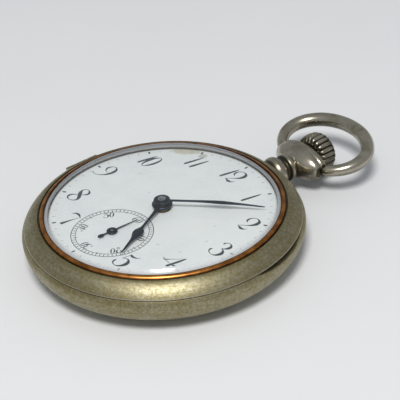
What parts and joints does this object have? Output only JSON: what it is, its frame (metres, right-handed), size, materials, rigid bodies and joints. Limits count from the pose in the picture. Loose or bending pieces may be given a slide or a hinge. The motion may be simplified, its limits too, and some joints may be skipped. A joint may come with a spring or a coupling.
{
  "type": "open face pocket watch",
  "caption": "Stem-wound pocket watch in a round hinged case with a bow, small seconds dial and a full lever movement inside.",
  "frame": {"origin": "centre of the flat in the middle of the back cover, on which the watch lies", "axes": "+Z out of the dial, +Y towards 12 o'clock and the crown, +X towards 3 o'clock"},
  "size_m": [0.0515, 0.0725, 0.0126],
  "materials": {
    "worn_nickel": "worn satin nickel silver with a dull olive patina",
    "bright_nickel": "rubbed nickel, glossier than the case",
    "copper": "bare copper-coloured ring, lightly nicked",
    "crystal_glass": "clear domed watch glass",
    "enamel": "white vitreous enamel with dark slate printing",
    "blued_steel": "dark blued steel",
    "gilt_brass": "frosted gilt brass",
    "brass": "polished brass",
    "steel": "polished steel"
  },
  "bodies": {
    "case": {"case_band": "worn_nickel", "bezel_hinge_pin": "steel", "back_hinge_pin": "steel", "pendant": "bright_nickel", "main_plate": "gilt_brass", "barrel_bridge": "gilt_brass", "train_bridge": "gilt_brass", "balance_cock": "gilt_brass", "pallet_bridge": "gilt_brass", "barrel_bridge_screw_1": "blued_steel", "barrel_bridge_screw_2": "blued_steel", "train_bridge_screw_1": "blued_steel", "train_bridge_screw_2": "blued_steel", "case_screw_1": "blued_steel", "case_screw_2": "blued_steel", "balance_cock_screw": "blued_steel", "pallet_bridge_screw": "blued_steel", "crown_wheel_core": "blued_steel", "click_spring": "steel", "hairspring": "blued_steel", "dial": "enamel"},
    "bezel": {"bezel": "worn_nickel", "bezel_ring": "copper", "crystal": "crystal_glass"},
    "back": {"back_cover": "worn_nickel"},
    "dust": {"dust_cover": "gilt_brass"},
    "bow": {"bow": "bright_nickel"},
    "winding": {"winding_pinion": "steel"},
    "clutch": {"clutch_wheel": "steel"},
    "stem": {"winding_stem": "steel", "crown": "bright_nickel"},
    "setting_lever": {"setting_lever": "steel"},
    "clutch_lever": {"clutch_lever": "steel"},
    "crown_wheel": {"crown_wheel": "steel"},
    "ratchet": {"ratchet_wheel": "steel", "ratchet_screw": "blued_steel", "barrel_arbor": "steel"},
    "barrel": {"barrel": "brass", "barrel_cover": "brass", "mainspring": "blued_steel"},
    "centre": {"centre_arbor": "steel", "centre_wheel": "brass", "cannon_pinion": "steel", "minute_hand": "blued_steel"},
    "third": {"third_pinion": "steel", "third_wheel": "brass"},
    "fourth": {"fourth_pinion": "steel", "fourth_wheel": "brass", "seconds_hand": "blued_steel"},
    "escape": {"escape_pinion": "steel", "escape_wheel": "steel"},
    "hour": {"hour_wheel": "brass", "hour_hand": "blued_steel"},
    "minute_wheel": {"minute_wheel": "brass"},
    "setting_wheel": {"setting_wheel": "steel"},
    "fork": {"pallet_fork": "steel"},
    "balance": {"balance_wheel": "brass", "balance_staff": "steel"},
    "regulator": {"regulator": "steel"},
    "click": {"click": "steel"}
  },
  "joints": [
    {"name": "bezel_hinge", "type": "hinge", "parent": "case", "child": "bezel", "pos_m": [-0.02535, 0, 0.0077], "axis": [0, -1, 0], "range_deg": [0, 100]},
    {"name": "back_cover_hinge", "type": "hinge", "parent": "case", "child": "back", "pos_m": [-0.0242, 0, 0.003], "axis": [0, 1, 0], "range_deg": [0, 110]},
    {"name": "dust_cover_hinge", "type": "hinge", "parent": "case", "child": "dust", "pos_m": [-0.0242, 0, 0.003], "axis": [0, 1, 0], "range_deg": [0, 88]},
    {"name": "bow_swing", "type": "hinge", "parent": "case", "child": "bow", "pos_m": [0, 0.0334, 0.0055], "axis": [1, 0, 0], "range_deg": [-100, 80]},
    {"name": "crown_turn", "type": "hinge", "parent": "case", "child": "winding", "pos_m": [0, 0.037, 0.0055], "axis": [0, 1, 0], "continuous": true},
    {"name": "crown_pull", "type": "slide", "parent": "winding", "child": "stem", "axis": [0, 1, 0], "range_m": [0, 0.001]},
    {"name": "clutch_slide", "type": "slide", "parent": "winding", "child": "clutch", "axis": [0, 1, 0], "range_m": [-0.0007, 0]},
    {"name": "setting_lever_turn", "type": "hinge", "parent": "case", "child": "setting_lever", "pos_m": [0.0033, 0.0189, 0.008], "axis": [0, 0, 1], "range_deg": [-22.8, 0]},
    {"name": "clutch_lever_turn", "type": "hinge", "parent": "case", "child": "clutch_lever", "pos_m": [-0.0049, 0.01285, 0.008], "axis": [0, 0, 1], "range_deg": [-11.5, 0]},
    {"name": "crown_wheel_turn", "type": "hinge", "parent": "case", "child": "crown_wheel", "pos_m": [0, 0.01226, 0.0017], "axis": [0, 0, 1], "continuous": true},
    {"name": "ratchet_turn", "type": "hinge", "parent": "case", "child": "ratchet", "pos_m": [-0.00779, 0.0045, 0.0017], "axis": [0, 0, 1], "continuous": true},
    {"name": "seconds_turn", "type": "hinge", "parent": "case", "child": "fourth", "pos_m": [0, -0.01109, 0.005], "axis": [0, 0, -1], "continuous": true},
    {"name": "escape_turn", "type": "hinge", "parent": "case", "child": "escape", "pos_m": [0.00537, -0.01156, 0.005], "axis": [0, 0, -1], "continuous": true},
    {"name": "third_turn", "type": "hinge", "parent": "case", "child": "third", "pos_m": [0.00216, -0.00573, 0.005], "axis": [0, 0, -1], "continuous": true},
    {"name": "minute_turn", "type": "hinge", "parent": "case", "child": "centre", "pos_m": [0, 0, 0.005], "axis": [0, 0, -1], "continuous": true},
    {"name": "hour_turn", "type": "hinge", "parent": "case", "child": "hour", "pos_m": [0, 0, 0.009], "axis": [0, 0, -1], "continuous": true},
    {"name": "minute_wheel_turn", "type": "hinge", "parent": "case", "child": "minute_wheel", "pos_m": [0, 0.00432, 0.008], "axis": [0, 0, -1], "continuous": true},
    {"name": "setting_wheel_turn", "type": "hinge", "parent": "case", "child": "setting_wheel", "pos_m": [0, 0.00936, 0.008], "axis": [0, 0, -1], "continuous": true},
    {"name": "barrel_turn", "type": "hinge", "parent": "case", "child": "barrel", "pos_m": [-0.00779, 0.0045, 0.005], "axis": [0, 0, -1], "continuous": true},
    {"name": "pallet_fork_rock", "type": "hinge", "parent": "case", "child": "fork", "pos_m": [0.00811, -0.00926, 0.005], "axis": [0, 0, 1], "range_deg": [-5, 5]},
    {"name": "balance_swing", "type": "hinge", "parent": "case", "child": "balance", "pos_m": [0.0092, -0.0052, 0.004], "axis": [0, 0, 1], "range_deg": [-270, 270], "stiffness_Nm_per_rad": 0.000003},
    {"name": "regulator_turn", "type": "hinge", "parent": "case", "child": "regulator", "pos_m": [0.0092, -0.0052, 0.0018], "axis": [0, 0, 1], "range_deg": [-20, 20]},
    {"name": "click_lift", "type": "hinge", "parent": "case", "child": "click", "pos_m": [-0.013, -0.0032, 0.0017], "axis": [0, 0, 1], "range_deg": [-8, 0], "stiffness_Nm_per_rad": 0.000002}
  ],
  "couplings": [
    {"joint": "dust_cover_hinge", "follows": "back_cover_hinge", "ratio": 0.8},
    {"joint": "clutch_slide", "follows": "crown_pull", "ratio": -0.7},
    {"joint": "setting_lever_turn", "follows": "crown_pull", "rad_per_m": -394.8},
    {"joint": "clutch_lever_turn", "follows": "crown_pull", "rad_per_m": -196.6},
    {"joint": "crown_wheel_turn", "follows": "crown_turn", "ratio": 0.5},
    {"joint": "ratchet_turn", "follows": "crown_turn", "ratio": -0.25862},
    {"joint": "escape_turn", "follows": "seconds_turn", "ratio": -10},
    {"joint": "third_turn", "follows": "seconds_turn", "ratio": -0.13333},
    {"joint": "minute_turn", "follows": "seconds_turn", "ratio": 0.016667},
    {"joint": "hour_turn", "follows": "seconds_turn", "ratio": 0.0013889},
    {"joint": "minute_wheel_turn", "follows": "seconds_turn", "ratio": -0.0055556},
    {"joint": "setting_wheel_turn", "follows": "seconds_turn", "ratio": 0.01},
    {"joint": "barrel_turn", "follows": "seconds_turn", "ratio": -0.0020833}
  ]
}
